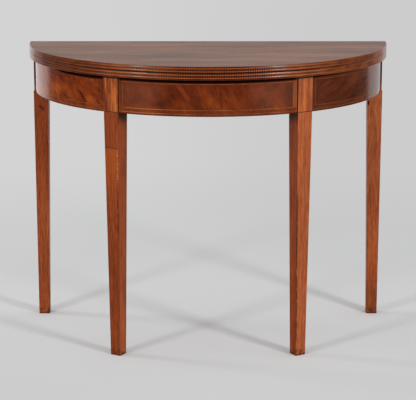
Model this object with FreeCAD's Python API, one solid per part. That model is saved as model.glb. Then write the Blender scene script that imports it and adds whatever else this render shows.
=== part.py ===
import FreeCAD, Part
import math
import os

from FreeCAD import Vector

# Half-round table with a fold-over top on two swinging rear legs. Millimetres, +Z up, viewer at -Y.
# The shapes are drawn with the straight back edge of the top on Y = 0 and are moved at the end, so that
# the origin is on the floor under the middle of the whole table.

# Driving dimensions: top
TABLE_HEIGHT = 722.0
TOP_RADIUS = 457.2
LEAF_THICKNESS = 16.0
LEAF_GAP = 0.2
LEAF_ARRIS = 1.8
BANDING_HEIGHT = 4.8
BANDING_DEPTH = 1.8
BANDING_CROWN = 0.4
BANDING_SPACING = 7.2

# Driving dimensions: apron
TOP_OVERHANG = 14.2
APRON_HEIGHT = 87.0
APRON_CORE = 20.0
VENEER = 1.0
STRING_WIDTH = 1.2
STRING_DEPTH = 0.6
STRING_END_INSET = 1.6
STRING_BOTTOM_INSET = 4.6
STRING_TOP_INSET = 0.8
STRING_BORDER = 8.4

# Driving dimensions: front legs
LEG_ARRIS = 0.8
FRONT_LEG_ANGLE = 31.0
FRONT_LEG_TOP = 40.0
FRONT_LEG_FOOT = 27.0
FRONT_LEG_PROUD = 3.0
TENON_THICKNESS = 8.0
TENON_LENGTH = 14.0
TENON_SHOULDER = 8.0
TENON_ROOT = 1.0
DIE_LINE_HEIGHT = 1.6
DIE_LINE_RISE = 1.0

# Driving dimensions: back frame and fly legs
BACK_INSET = 1.5
SWING_CLEARANCE = 0.5
RAIL_THICKNESS = 20.0
RAIL_RISE = 4.0
RAIL_LAP = 12.0
FLY_LEG_TOP = 38.0
FLY_LEG_FOOT = 27.0
FLY_LEG_SIDE_INSET = 9.6
FLY_SHOULDER_DROP = 4.5
FLY_TENON_LENGTH = 24.0
PEG_DIAMETER = 7.0
PEG_SPACING = 32.0

# Driving dimensions: wooden knuckle joints
KNUCKLE_X = 130.0
FINGER_COUNT = 5
KNUCKLE_GAP = 0.3
KNUCKLE_PIN_DIAMETER = 6.0
PIN_CLEARANCE = 0.05

# Driving dimensions: braces, blocks and screws
BRACE_WIDTH = 40.0
BRACE_HEIGHT = 22.0
BRACE_TENON = 8.0
BRACE_SHOULDER = 6.0
BLOCK_SIZE = 16.0
BLOCK_LENGTH = 46.0
APRON_BLOCK_ANGLES = (-74.0, -60.0, -46.0, -15.0, 15.0, 46.0, 60.0, 74.0)
BACK_BLOCK_X = (-300.0, -110.0, 110.0, 300.0)
TOP_SCREW_ANGLES = (-53.0, 0.0, 53.0)
TOP_SCREW_X = (-205.0, 205.0)
TOP_SCREW_DIAMETER = 4.4
TOP_SCREW_HEAD = 9.0
TOP_SCREW_BITE = 11.0
POCKET_RADIUS = 9.0
POCKET_CLEARANCE = 0.8
POCKET_HEIGHT = 20.0
POCKET_DROP = 24.0
RAIL_SCREW_X = (-70.0, 70.0)
RAIL_SCREW_SPACING = 44.0
RAIL_SCREW_DIAMETER = 5.0
RAIL_SCREW_HEAD = 10.0
RAIL_SCREW_LENGTH = 34.0

# Driving dimensions: leaf hinges
HINGE_LENGTH = 38.0
HINGE_HEIGHT = 9.5
HINGE_THICKNESS = 4.5
HINGE_AXIS_OUT = 0.3
HINGE_EYE_RADIUS = 3.2
HINGE_EYE_CLEARANCE = 0.4
HINGE_LAYER_GAP = 0.1
HINGE_EAR = 6.0
HINGE_PIN_DIAMETER = 3.0
HINGE_SCREW_DIAMETER = 2.6
HINGE_SCREW_HEAD = 5.0
HINGE_SCREW_LENGTH = 16.0
HINGE_SCREW_END = 7.6
HINGE_SCREW_SPACING = 15.2

# Levels and planes that follow from them
LEAF_PLANE = TABLE_HEIGHT - LEAF_THICKNESS
FRAME_TOP = TABLE_HEIGHT - 2 * LEAF_THICKNESS
APRON_BOTTOM = FRAME_TOP - APRON_HEIGHT
RAIL_BOTTOM = APRON_BOTTOM + RAIL_RISE
FLY_TOP = FRAME_TOP - SWING_CLEARANCE
APRON_RADIUS = TOP_RADIUS - TOP_OVERHANG
CORE_OUTER = APRON_RADIUS - VENEER
CORE_INNER = CORE_OUTER - APRON_CORE
FLY_BACK = -BACK_INSET
FLY_FRONT = FLY_BACK - RAIL_THICKNESS
BACK_PLANE = FLY_FRONT - SWING_CLEARANCE
BACK_RAIL_FRONT = BACK_PLANE - RAIL_THICKNESS
KNUCKLE_Y = (FLY_BACK + FLY_FRONT) / 2
KNUCKLE_RADIUS = RAIL_THICKNESS / 2
FLY_LEG_OUTER = TOP_RADIUS - FLY_LEG_SIDE_INSET
FLY_LEG_INNER = FLY_LEG_OUTER - FLY_LEG_TOP
FLY_SHOULDER = APRON_BOTTOM - FLY_SHOULDER_DROP
FRONT_LEG_RADIUS = APRON_RADIUS + FRONT_LEG_PROUD
HINGE_REACH = HINGE_AXIS_OUT + HINGE_EYE_RADIUS
BACK_EDGE_Y = (TOP_RADIUS - HINGE_REACH) / 2
UP = Vector(0, 0, 1)
ACROSS = Vector(1, 0, 0)
CENTRE = Vector(0, 0, 0)
SIDES = {"left": -1, "right": 1}
# Any length that passes right through a piece when it is cut
THROUGH = TOP_RADIUS


def span_box(x, y, z):
    """Box between two values on each axis."""
    size = (x[1] - x[0], y[1] - y[0], z[1] - z[0])
    return Part.makeBox(*size, Vector(x[0], y[0], z[0]))


def upright(radius, x, y, z):
    """Vertical cylinder between two levels."""
    return Part.makeCylinder(radius, z[1] - z[0], Vector(x, y, z[0]), UP)


def crosswise(radius, x, y, z):
    """Cylinder along X between two values of X."""
    return Part.makeCylinder(radius, x[1] - x[0], Vector(x[0], y, z), ACROSS)


def turned(shape, degrees):
    """Copy turned about the vertical through the middle of the back edge; 0 is the front."""
    copy = shape.copy()
    copy.rotate(CENTRE, UP, degrees)
    return copy


def other_side(shape):
    """Mirror image across the middle of the table."""
    return shape.mirror(CENTRE, ACROSS)


def sided(shape, side):
    """A right-hand shape as it is, or its mirror image for the left."""
    return shape if SIDES[side] > 0 else other_side(shape)


def sector(radii, levels, angles):
    """Part of a ring; angles are measured from the front, positive towards +X."""
    corners = [
        Vector(0, -radii[0], levels[0]),
        Vector(0, -radii[1], levels[0]),
        Vector(0, -radii[1], levels[1]),
        Vector(0, -radii[0], levels[1]),
    ]
    face = Part.Face(Part.makePolygon(corners + corners[:1]))
    ring = face.revolve(CENTRE, UP, angles[1] - angles[0])
    return turned(ring, angles[0])


def arc_degrees(length, radius):
    """Angle that an arc of this length takes at this radius."""
    return math.degrees(length / radius)


def chord_degrees(half_width, radius):
    """Angle from the middle of a leg to the side of it, seen at this radius."""
    return math.degrees(math.asin(half_width / radius))


def group(solids):
    """Several separate solids in one node."""
    return Part.makeCompound(solids)


def cut_all(shape, tools):
    for tool in tools:
        shape = shape.cut(tool)
    return shape


# Top leaves


def leaf(bottom, top):
    """Half disc with rounded arrises."""
    flat = TOP_RADIUS - LEAF_ARRIS
    bend = LEAF_ARRIS * (1 - math.sqrt(0.5))
    low = Part.Arc(
        Vector(flat, 0, bottom),
        Vector(TOP_RADIUS - bend, 0, bottom + bend),
        Vector(TOP_RADIUS, 0, bottom + LEAF_ARRIS),
    )
    high = Part.Arc(
        Vector(TOP_RADIUS, 0, top - LEAF_ARRIS),
        Vector(TOP_RADIUS - bend, 0, top - bend),
        Vector(flat, 0, top),
    )
    edges = [
        Part.makeLine(Vector(0, 0, bottom), Vector(flat, 0, bottom)),
        low.toShape(),
        Part.makeLine(Vector(TOP_RADIUS, 0, bottom + LEAF_ARRIS), Vector(TOP_RADIUS, 0, top - LEAF_ARRIS)),
        high.toShape(),
        Part.makeLine(Vector(flat, 0, top), Vector(0, 0, top)),
        Part.makeLine(Vector(0, 0, top), Vector(0, 0, bottom)),
    ]
    return Part.Face(Part.Wire(edges)).revolve(CENTRE, UP, -180)


def banding_strip(middle):
    """Crowned strip let into the curved edge, between the leaf hinges."""
    inner = TOP_RADIUS - BANDING_DEPTH
    shoulder = TOP_RADIUS - BANDING_CROWN
    low = middle - BANDING_HEIGHT / 2
    high = middle + BANDING_HEIGHT / 2
    crown = Part.Arc(Vector(0, -shoulder, low), Vector(0, -TOP_RADIUS, middle), Vector(0, -shoulder, high))
    edges = [
        Part.makeLine(Vector(0, -inner, high), Vector(0, -inner, low)),
        Part.makeLine(Vector(0, -inner, low), Vector(0, -shoulder, low)),
        crown.toShape(),
        Part.makeLine(Vector(0, -shoulder, high), Vector(0, -inner, high)),
    ]
    reach = 90 - arc_degrees(HINGE_LENGTH, TOP_RADIUS)
    strip = Part.Face(Part.Wire(edges)).revolve(CENTRE, UP, 2 * reach)
    groove = sector((inner, TOP_RADIUS + BANDING_DEPTH), (low, high), (-reach, reach))
    return turned(strip, -reach), groove


def banding(bottom, top):
    """The two strips of one leaf and the grooves that they lie in."""
    middle = (bottom + top) / 2
    pairs = [banding_strip(middle + side * BANDING_SPACING / 2) for side in (-1, 1)]
    strips = [pair[0] for pair in pairs]
    grooves = [pair[1] for pair in pairs]
    return group(strips), grooves


# Leaf hinges at the right-hand end; the left-hand ones are mirror images

HINGE_INNER = TOP_RADIUS - HINGE_THICKNESS
HINGE_LAYER = (HINGE_THICKNESS - 2 * HINGE_LAYER_GAP) / 3
FORK_IN = (HINGE_INNER, HINGE_INNER + HINGE_LAYER)
TONGUE = (FORK_IN[1] + HINGE_LAYER_GAP, FORK_IN[1] + HINGE_LAYER_GAP + HINGE_LAYER)
FORK_OUT = (TOP_RADIUS - HINGE_LAYER, TOP_RADIUS)
HINGE_SCREW_FRONT = HINGE_SCREW_END - HINGE_LENGTH
HINGE_SCREW_Y = (HINGE_SCREW_FRONT, HINGE_SCREW_FRONT + HINGE_SCREW_SPACING)


def hinge_eye(layer, radius):
    return crosswise(radius, layer, HINGE_AXIS_OUT, LEAF_PLANE)


def hinge_clearance(layer):
    widened = (layer[0] - HINGE_LAYER_GAP, layer[1] + HINGE_LAYER_GAP)
    return hinge_eye(widened, HINGE_EYE_RADIUS + HINGE_EYE_CLEARANCE)


def hinge_plate(rise, layers, other_layers, hole_radius):
    """Plate let into the end of a leaf; rise is +1 for the upper leaf and -1 for the lower one."""
    middle = LEAF_PLANE + rise * LEAF_THICKNESS / 2
    levels = (middle - HINGE_HEIGHT / 2, middle + HINGE_HEIGHT / 2)
    near = LEAF_PLANE + rise * LEAF_GAP / 2
    ear_levels = sorted((near, middle))
    across = (HINGE_INNER, TOP_RADIUS)
    blank = span_box(across, (-HINGE_LENGTH, 0), levels)
    ear = span_box(across, (-HINGE_EAR, 0), ear_levels)
    plate = blank.fuse(ear).common(upright(TOP_RADIUS, 0, 0, (FRAME_TOP, TABLE_HEIGHT)))
    for layer in other_layers:
        plate = plate.cut(hinge_clearance(layer))
    for layer in layers:
        plate = plate.fuse(hinge_eye(layer, HINGE_EYE_RADIUS))
    plate = plate.cut(hinge_eye(across, hole_radius)).removeSplitter()
    screws = [hinge_screw(y, middle) for y in HINGE_SCREW_Y]
    for screw in screws:
        plate = plate.cut(screw)
    return plate, screws


def hinge_screw(y, z):
    """Countersunk screw that goes in from the end of the leaf."""
    head = (HINGE_SCREW_HEAD - HINGE_SCREW_DIAMETER) / 2
    outside = math.sqrt(TOP_RADIUS**2 - y**2)
    tip = outside - HINGE_SCREW_LENGTH
    shank = crosswise(HINGE_SCREW_DIAMETER / 2, (tip, outside), y, z)
    start = Vector(outside - head, y, z)
    cone = Part.makeCone(HINGE_SCREW_DIAMETER / 2, HINGE_SCREW_HEAD / 2, head, start, ACROSS)
    return shank.fuse(cone).removeSplitter()


def hinge_parts():
    """Right-hand hinge: upper plate with its tongue, lower plate with its fork, pin and screws."""
    pin_radius = HINGE_PIN_DIAMETER / 2
    upper = hinge_plate(1, (TONGUE,), (FORK_IN, FORK_OUT), pin_radius + PIN_CLEARANCE)
    lower = hinge_plate(-1, (FORK_IN, FORK_OUT), (TONGUE,), pin_radius)
    pin = hinge_eye((HINGE_INNER, TOP_RADIUS), pin_radius)
    return upper, lower, pin


def leaf_with_hinges(shape, plate, screws):
    """Lets a hinge plate and its screws into both ends of a leaf, with room for the knuckle."""
    room = hinge_clearance((HINGE_INNER, TOP_RADIUS))
    for side in SIDES:
        for tool in [plate, room, *screws]:
            shape = shape.cut(sided(tool, side))
    return shape


# Front legs, drawn facing the front and turned to their places


def leg_section(x_middle, y_middle, width, z):
    """Square outline with eased corners."""
    middle = Vector(x_middle, y_middle, z)
    flat = width / 2 - LEG_ARRIS
    bend = flat + LEG_ARRIS * math.sqrt(0.5)
    side = Part.makeLine(Vector(-flat, -width / 2, 0), Vector(flat, -width / 2, 0))
    corner = Part.Arc(
        Vector(flat, -width / 2, 0),
        Vector(bend, -bend, 0),
        Vector(width / 2, -flat, 0),
    ).toShape()
    edges = []
    for quarter in range(4):
        for edge in (side, corner):
            placed = turned(edge, 90 * quarter)
            placed.translate(middle)
            edges.append(placed)
    return Part.Wire(edges)


def front_leg_blank():
    """Square block as high as the apron, on a leg that tapers on all four faces."""
    y = -(FRONT_LEG_RADIUS - FRONT_LEG_TOP / 2)
    foot = leg_section(0, y, FRONT_LEG_FOOT, 0)
    knee = leg_section(0, y, FRONT_LEG_TOP, APRON_BOTTOM)
    taper = Part.makeLoft([foot, knee], True, True)
    block = Part.Face(knee).extrude(Vector(0, 0, APRON_HEIGHT))
    return taper.fuse(block).removeSplitter()


def leg_passage():
    """Space that a front leg takes out of the apron."""
    half = FRONT_LEG_TOP / 2
    return span_box((-half, half), (-THROUGH - APRON_RADIUS, -CORE_INNER / 2), (0, TABLE_HEIGHT))


def apron_tenon(outward):
    """Tenon of an apron bay, with its root in the bay, for one side of a front leg; outward is +1 for +X."""
    half = FRONT_LEG_TOP / 2
    along = sorted((outward * (half + TENON_ROOT), outward * (half - TENON_LENGTH)))
    middle = (CORE_OUTER + CORE_INNER) / 2
    radii = (middle - TENON_THICKNESS / 2, middle + TENON_THICKNESS / 2)
    levels = (APRON_BOTTOM + TENON_SHOULDER, FRAME_TOP - TENON_SHOULDER)
    return sector(radii, levels, (-90, 90)).common(span_box(along, (-THROUGH, 0), levels))


def leg_front(levels):
    """Layer as thick as the veneer on the front of the block, between two levels."""
    half = FRONT_LEG_TOP / 2
    layer = span_box((-half, half), (-FRONT_LEG_RADIUS, -FRONT_LEG_RADIUS + VENEER), levels)
    return layer.common(front_leg_blank())


def die_veneer():
    """Upright-grained veneer on the front of the block."""
    return leg_front((APRON_BOTTOM + DIE_LINE_RISE + DIE_LINE_HEIGHT, FRAME_TOP))


def die_line():
    """Dark strip let in under the die."""
    low = APRON_BOTTOM + DIE_LINE_RISE
    return leg_front((low, low + DIE_LINE_HEIGHT))


def front_leg():
    return cut_all(front_leg_blank(), (apron_tenon(-1), apron_tenon(1), die_veneer(), die_line()))


# Apron


def bays(radii):
    """The three bays of a ring between the back plane and the front legs, from left to right."""
    ring = sector(radii, (APRON_BOTTOM, FRAME_TOP), (-90, 90))
    ring = ring.cut(span_box((-THROUGH, THROUGH), (BACK_PLANE, THROUGH), (0, TABLE_HEIGHT)))
    for side in SIDES.values():
        ring = ring.cut(turned(leg_passage(), side * FRONT_LEG_ANGLE))
    return sorted(ring.Solids, key=lambda solid: solid.CenterOfMass.x)


def bay_angles():
    """Start and end of each bay on the veneered face, from left to right."""
    side = chord_degrees(FRONT_LEG_TOP / 2, APRON_RADIUS)
    end = 90 - chord_degrees(-BACK_PLANE, APRON_RADIUS)
    return (
        (-end, -FRONT_LEG_ANGLE - side),
        (-FRONT_LEG_ANGLE + side, FRONT_LEG_ANGLE - side),
        (FRONT_LEG_ANGLE + side, end),
    )


def string_frame(angles, step):
    """One closed frame of line inlay on a bay, this far inside the outermost place for one."""
    radii = (APRON_RADIUS - STRING_DEPTH, APRON_RADIUS)

    def inside(by):
        turn = arc_degrees(STRING_END_INSET + by, APRON_RADIUS)
        levels = (APRON_BOTTOM + STRING_BOTTOM_INSET + by, FRAME_TOP - STRING_TOP_INSET - by)
        return sector(radii, levels, (angles[0] + turn, angles[1] - turn))

    return inside(step).cut(inside(step + STRING_WIDTH))


def stringing(angles):
    """Outer and inner frame of one bay."""
    return [string_frame(angles, step) for step in (0, STRING_WIDTH + STRING_BORDER)]


def apron_cores():
    """The three bays of the core, with tenons into the front legs."""
    left, centre, right = bays((CORE_INNER, CORE_OUTER))
    left = left.fuse(turned(apron_tenon(-1), -FRONT_LEG_ANGLE)).removeSplitter()
    for side in SIDES.values():
        centre = centre.fuse(turned(apron_tenon(-side), side * FRONT_LEG_ANGLE))
    right = right.fuse(turned(apron_tenon(1), FRONT_LEG_ANGLE)).removeSplitter()
    return {"left": left, "centre": centre.removeSplitter(), "right": right}


# Back frame


def back_rail_blank():
    """Fixed rail, lapped into the ends of the apron."""
    rail = span_box((-THROUGH, THROUGH), (BACK_RAIL_FRONT, BACK_PLANE), (RAIL_BOTTOM, FRAME_TOP))
    return rail.common(upright(CORE_INNER + RAIL_LAP, 0, 0, (0, TABLE_HEIGHT)))


def finger_levels(first):
    """Levels of every second finger, from the first one given, with half the gap off each end."""
    step = (FLY_TOP - RAIL_BOTTOM) / FINGER_COUNT
    gap = KNUCKLE_GAP / 2
    levels = []
    for index in range(first, FINGER_COUNT, 2):
        low = RAIL_BOTTOM + index * step
        levels.append((low + gap, low + step - gap))
    return levels


def mitre(outward):
    """Corner taken off the back of a rail at the right-hand knuckle, so that it can turn a right angle."""
    gap = KNUCKLE_GAP
    reach = KNUCKLE_RADIUS + BACK_INSET
    points = [
        Vector(outward * gap, 0, 0),
        Vector(-outward * reach, 0, 0),
        Vector(-outward * reach, reach, 0),
        Vector(outward * (gap + reach), reach, 0),
    ]
    face = Part.Face(Part.makePolygon(points + points[:1]))
    wedge = face.extrude(Vector(0, 0, TABLE_HEIGHT))
    wedge.translate(Vector(KNUCKLE_X, KNUCKLE_Y, 0))
    return wedge


def knuckle_end(rail, outward, own_first, hole_radius, top):
    """Gives a rail its rounded fingers at the right-hand knuckle and hollows it for the other rail's.

    The hollow for a top or bottom finger runs out through the end of the rail.
    """
    levels = (RAIL_BOTTOM, top)
    shape = rail.cut(mitre(outward)).fuse(upright(KNUCKLE_RADIUS, KNUCKLE_X, KNUCKLE_Y, levels))
    for low, high in finger_levels(1 - own_first):
        room = (low - KNUCKLE_GAP, high + KNUCKLE_GAP)
        if room[0] < RAIL_BOTTOM + KNUCKLE_GAP:
            room = (0, room[1])
        if room[1] > FLY_TOP - KNUCKLE_GAP:
            room = (room[0], TABLE_HEIGHT)
        shape = shape.cut(upright(KNUCKLE_RADIUS + KNUCKLE_GAP, KNUCKLE_X, KNUCKLE_Y, room))
    return shape.cut(upright(hole_radius, KNUCKLE_X, KNUCKLE_Y, levels)).removeSplitter()


def hinge_rail():
    """Centre rail, fixed to the back rail, with fingers at both ends."""
    half = span_box((0, KNUCKLE_X), (BACK_PLANE, FLY_BACK), (RAIL_BOTTOM, FRAME_TOP))
    half = knuckle_end(half, -1, 0, KNUCKLE_PIN_DIAMETER / 2, FRAME_TOP)
    return half.fuse(other_side(half)).removeSplitter()


def fly_tenon():
    middle = KNUCKLE_Y
    thickness = (middle - TENON_THICKNESS / 2, middle + TENON_THICKNESS / 2)
    levels = (RAIL_BOTTOM + TENON_SHOULDER, FLY_TOP - TENON_SHOULDER)
    return span_box((FLY_LEG_INNER, FLY_LEG_INNER + FLY_TENON_LENGTH), thickness, levels)


def fly_rail():
    """Right-hand fly rail from its knuckle to the tenon in the fly leg."""
    rail = span_box((KNUCKLE_X, FLY_LEG_INNER), (FLY_FRONT, FLY_BACK), (RAIL_BOTTOM, FLY_TOP))
    rail = rail.fuse(fly_tenon())
    return knuckle_end(rail, 1, 1, KNUCKLE_PIN_DIAMETER / 2 + PIN_CLEARANCE, FLY_TOP)


def knuckle_pin():
    return upright(KNUCKLE_PIN_DIAMETER / 2, KNUCKLE_X, KNUCKLE_Y, (RAIL_BOTTOM, FRAME_TOP))


def fly_leg():
    """Right-hand fly leg, plumb on its outer and back faces and cut back behind the apron end."""
    foot = leg_section(FLY_LEG_OUTER - FLY_LEG_FOOT / 2, FLY_BACK - FLY_LEG_FOOT / 2, FLY_LEG_FOOT, 0)
    knee = leg_section(FLY_LEG_OUTER - FLY_LEG_TOP / 2, FLY_BACK - FLY_LEG_TOP / 2, FLY_LEG_TOP, FLY_SHOULDER)
    taper = Part.makeLoft([foot, knee], True, True)
    post = Part.Face(knee).extrude(Vector(0, 0, FLY_TOP - FLY_SHOULDER))
    cut_back = span_box((0, THROUGH), (-THROUGH, FLY_FRONT), (FLY_SHOULDER, FLY_TOP))
    return taper.fuse(post.cut(cut_back)).cut(fly_tenon())


def fly_pegs():
    """Pegs through the fly leg and its tenon."""
    x = FLY_LEG_INNER + FLY_TENON_LENGTH / 2
    middle = (RAIL_BOTTOM + FLY_TOP) / 2
    pegs = []
    for side in (-1, 1):
        start = Vector(x, FLY_FRONT, middle + side * PEG_SPACING / 2)
        pegs.append(Part.makeCylinder(PEG_DIAMETER / 2, RAIL_THICKNESS, start, Vector(0, 1, 0)))
    return pegs


# Braces, blocks and screws inside the frame


def medial_brace():
    """Brace from the back rail to the middle of the apron, and its two stub tenons."""
    half = BRACE_WIDTH / 2
    levels = (RAIL_BOTTOM, RAIL_BOTTOM + BRACE_HEIGHT)
    bar = span_box((-half, half), (-THROUGH, BACK_RAIL_FRONT), levels)
    bar = bar.common(upright(CORE_INNER, 0, 0, (0, TABLE_HEIGHT)))
    thin = half - BRACE_SHOULDER
    inner_levels = (levels[0] + BRACE_SHOULDER, levels[1] - BRACE_SHOULDER)
    ends = (-CORE_INNER - BRACE_TENON, BACK_RAIL_FRONT + BRACE_TENON)
    return bar.fuse(span_box((-thin, thin), ends, inner_levels)).removeSplitter()


def block_face(edge, into):
    """Triangle in the corner under the top; edge is where it meets the rail, into points inward."""
    points = [
        Vector(0, edge, FRAME_TOP),
        Vector(0, edge + into * BLOCK_SIZE, FRAME_TOP),
        Vector(0, edge, FRAME_TOP - BLOCK_SIZE),
    ]
    return Part.Face(Part.makePolygon(points + points[:1]))


def apron_blocks():
    sweep = arc_degrees(BLOCK_LENGTH, CORE_INNER)
    block = block_face(-CORE_INNER, 1).revolve(CENTRE, UP, sweep)
    return group([turned(block, angle - sweep / 2) for angle in APRON_BLOCK_ANGLES])


def back_blocks():
    blocks = []
    for x in BACK_BLOCK_X:
        block = block_face(BACK_RAIL_FRONT, -1).extrude(Vector(BLOCK_LENGTH, 0, 0))
        block.translate(Vector(x - BLOCK_LENGTH / 2, 0, 0))
        blocks.append(block)
    return group(blocks)


def top_screw(into):
    """Screw up into the lower leaf and the gouged pocket that it goes in by, at a rail face on Y = 0."""
    ledge = FRAME_TOP - POCKET_DROP
    y = into * (POCKET_RADIUS - POCKET_CLEARANCE - TOP_SCREW_HEAD / 2)
    head = TOP_SCREW_HEAD / 2 - TOP_SCREW_DIAMETER / 2
    shank = upright(TOP_SCREW_DIAMETER / 2, 0, y, (ledge - head, FRAME_TOP + TOP_SCREW_BITE))
    cap = upright(TOP_SCREW_HEAD / 2, 0, y, (ledge - head, ledge))
    pocket = upright(POCKET_RADIUS, 0, 0, (ledge - POCKET_HEIGHT, ledge))
    return shank.fuse(cap).removeSplitter(), pocket


def top_screws():
    """Screws and pockets round the apron and along the back rail."""
    screws = []
    pockets = []
    for angle in TOP_SCREW_ANGLES:
        for shape, found in zip(top_screw(-1), (screws, pockets)):
            shape.translate(Vector(0, -CORE_INNER, 0))
            found.append(turned(shape, angle))
    for x in TOP_SCREW_X:
        for shape, found in zip(top_screw(1), (screws, pockets)):
            shape.translate(Vector(x, BACK_RAIL_FRONT, 0))
            found.append(shape)
    return screws, pockets


def rail_screws():
    """Countersunk screws through the centre rail into the back rail."""
    head = (RAIL_SCREW_HEAD - RAIL_SCREW_DIAMETER) / 2
    middle = (RAIL_BOTTOM + FRAME_TOP) / 2
    forward = Vector(0, -1, 0)
    screws = []
    for x in RAIL_SCREW_X:
        for side in (-1, 1):
            start = Vector(x, FLY_BACK, middle + side * RAIL_SCREW_SPACING / 2)
            shank = Part.makeCylinder(RAIL_SCREW_DIAMETER / 2, RAIL_SCREW_LENGTH, start, forward)
            cone = Part.makeCone(RAIL_SCREW_HEAD / 2, RAIL_SCREW_DIAMETER / 2, head, start, forward)
            screws.append(shank.fuse(cone).removeSplitter())
    return screws


def table():
    """Every piece of the table by name."""
    parts = {}
    screws, pockets = top_screws()
    (upper_plate, upper_hinge_screws), (lower_plate, lower_hinge_screws), hinge_pin = hinge_parts()

    leaf_levels = {
        "upper": (LEAF_PLANE + LEAF_GAP / 2, TABLE_HEIGHT),
        "lower": (FRAME_TOP, LEAF_PLANE - LEAF_GAP / 2),
    }
    leaf_hinges = {
        "upper": (upper_plate, upper_hinge_screws),
        "lower": (lower_plate, lower_hinge_screws),
    }
    for name, levels in leaf_levels.items():
        strips, grooves = banding(*levels)
        plate, plate_screws = leaf_hinges[name]
        board = leaf_with_hinges(cut_all(leaf(*levels), grooves), plate, plate_screws)
        parts[name + "_leaf"] = cut_all(board, screws)
        parts[name + "_edge_banding"] = strips
        for side in SIDES:
            parts[name + "_hinge_plate_" + side] = sided(plate, side)
        both_sides = [sided(screw, side) for side in SIDES for screw in plate_screws]
        parts[name + "_hinge_screws"] = group(both_sides)

    brace = medial_brace()
    back_rail = back_rail_blank()
    centre_screws = rail_screws()
    for name, core in apron_cores().items():
        parts["apron_" + name] = cut_all(core, [back_rail, brace, *pockets, *screws])
    parts["back_rail"] = cut_all(back_rail, [brace, *pockets, *screws, *centre_screws])
    parts["medial_brace"] = brace
    parts["hinge_rail"] = cut_all(hinge_rail(), centre_screws)
    parts["hinge_rail_screws"] = group(centre_screws)
    parts["top_screws"] = group(screws)
    parts["apron_glue_blocks"] = apron_blocks()
    parts["back_rail_glue_blocks"] = back_blocks()

    veneers = bays((CORE_OUTER, APRON_RADIUS))
    for name, veneer, angles in zip(("left", "centre", "right"), veneers, bay_angles()):
        frames = stringing(angles)
        parts["apron_veneer_" + name] = cut_all(veneer, frames)
        parts["stringing_" + name] = group(frames)

    pegs = fly_pegs()
    die_lines = []
    for side, sign in SIDES.items():
        angle = sign * FRONT_LEG_ANGLE
        parts["front_leg_" + side] = turned(front_leg(), angle)
        parts["die_veneer_" + side] = turned(die_veneer(), angle)
        die_lines.append(turned(die_line(), angle))
        parts["fly_rail_" + side] = sided(cut_all(fly_rail(), pegs), side)
        parts["fly_leg_" + side] = sided(cut_all(fly_leg(), pegs), side)
        parts["fly_leg_pegs_" + side] = sided(group(pegs), side)
        parts["knuckle_pin_" + side] = sided(knuckle_pin(), side)
        parts["leaf_hinge_pin_" + side] = sided(hinge_pin, side)
    parts["die_lines"] = group(die_lines)
    return parts


os.makedirs("parts", exist_ok=True)
for node, shape in table().items():
    placed = shape.copy()
    placed.translate(Vector(0, BACK_EDGE_Y, 0))
    placed.exportStep("parts/" + node + ".step")
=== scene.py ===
"""Finishes, stage, lights and camera for the half-round card table. Lengths are in metres."""

import math

import bpy
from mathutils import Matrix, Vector


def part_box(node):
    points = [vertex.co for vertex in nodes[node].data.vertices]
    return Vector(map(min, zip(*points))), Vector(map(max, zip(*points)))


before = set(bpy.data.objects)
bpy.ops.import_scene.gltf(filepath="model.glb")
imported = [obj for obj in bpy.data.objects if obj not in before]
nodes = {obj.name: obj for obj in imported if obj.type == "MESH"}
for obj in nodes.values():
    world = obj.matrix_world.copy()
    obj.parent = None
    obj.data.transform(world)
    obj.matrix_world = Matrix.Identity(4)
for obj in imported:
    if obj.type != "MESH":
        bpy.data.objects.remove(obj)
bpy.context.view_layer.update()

# Places read from the frame
LEAF_LOW, LEAF_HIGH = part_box("upper_leaf")
VENEER_LOW, VENEER_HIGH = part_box("apron_veneer_centre")
TOP_RADIUS = LEAF_HIGH.x
BACK_EDGE = LEAF_HIGH.y
APRON_RADIUS = BACK_EDGE - VENEER_LOW.y

# Sockets of the mix node when it mixes colours
MIX_SHARE = 0
MIX_FIRST = 6
MIX_SECOND = 7
MIX_RESULT = 2

# Tones between which a roughness changes
SHEEN_TONES = (0.3, 0.7)


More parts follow.
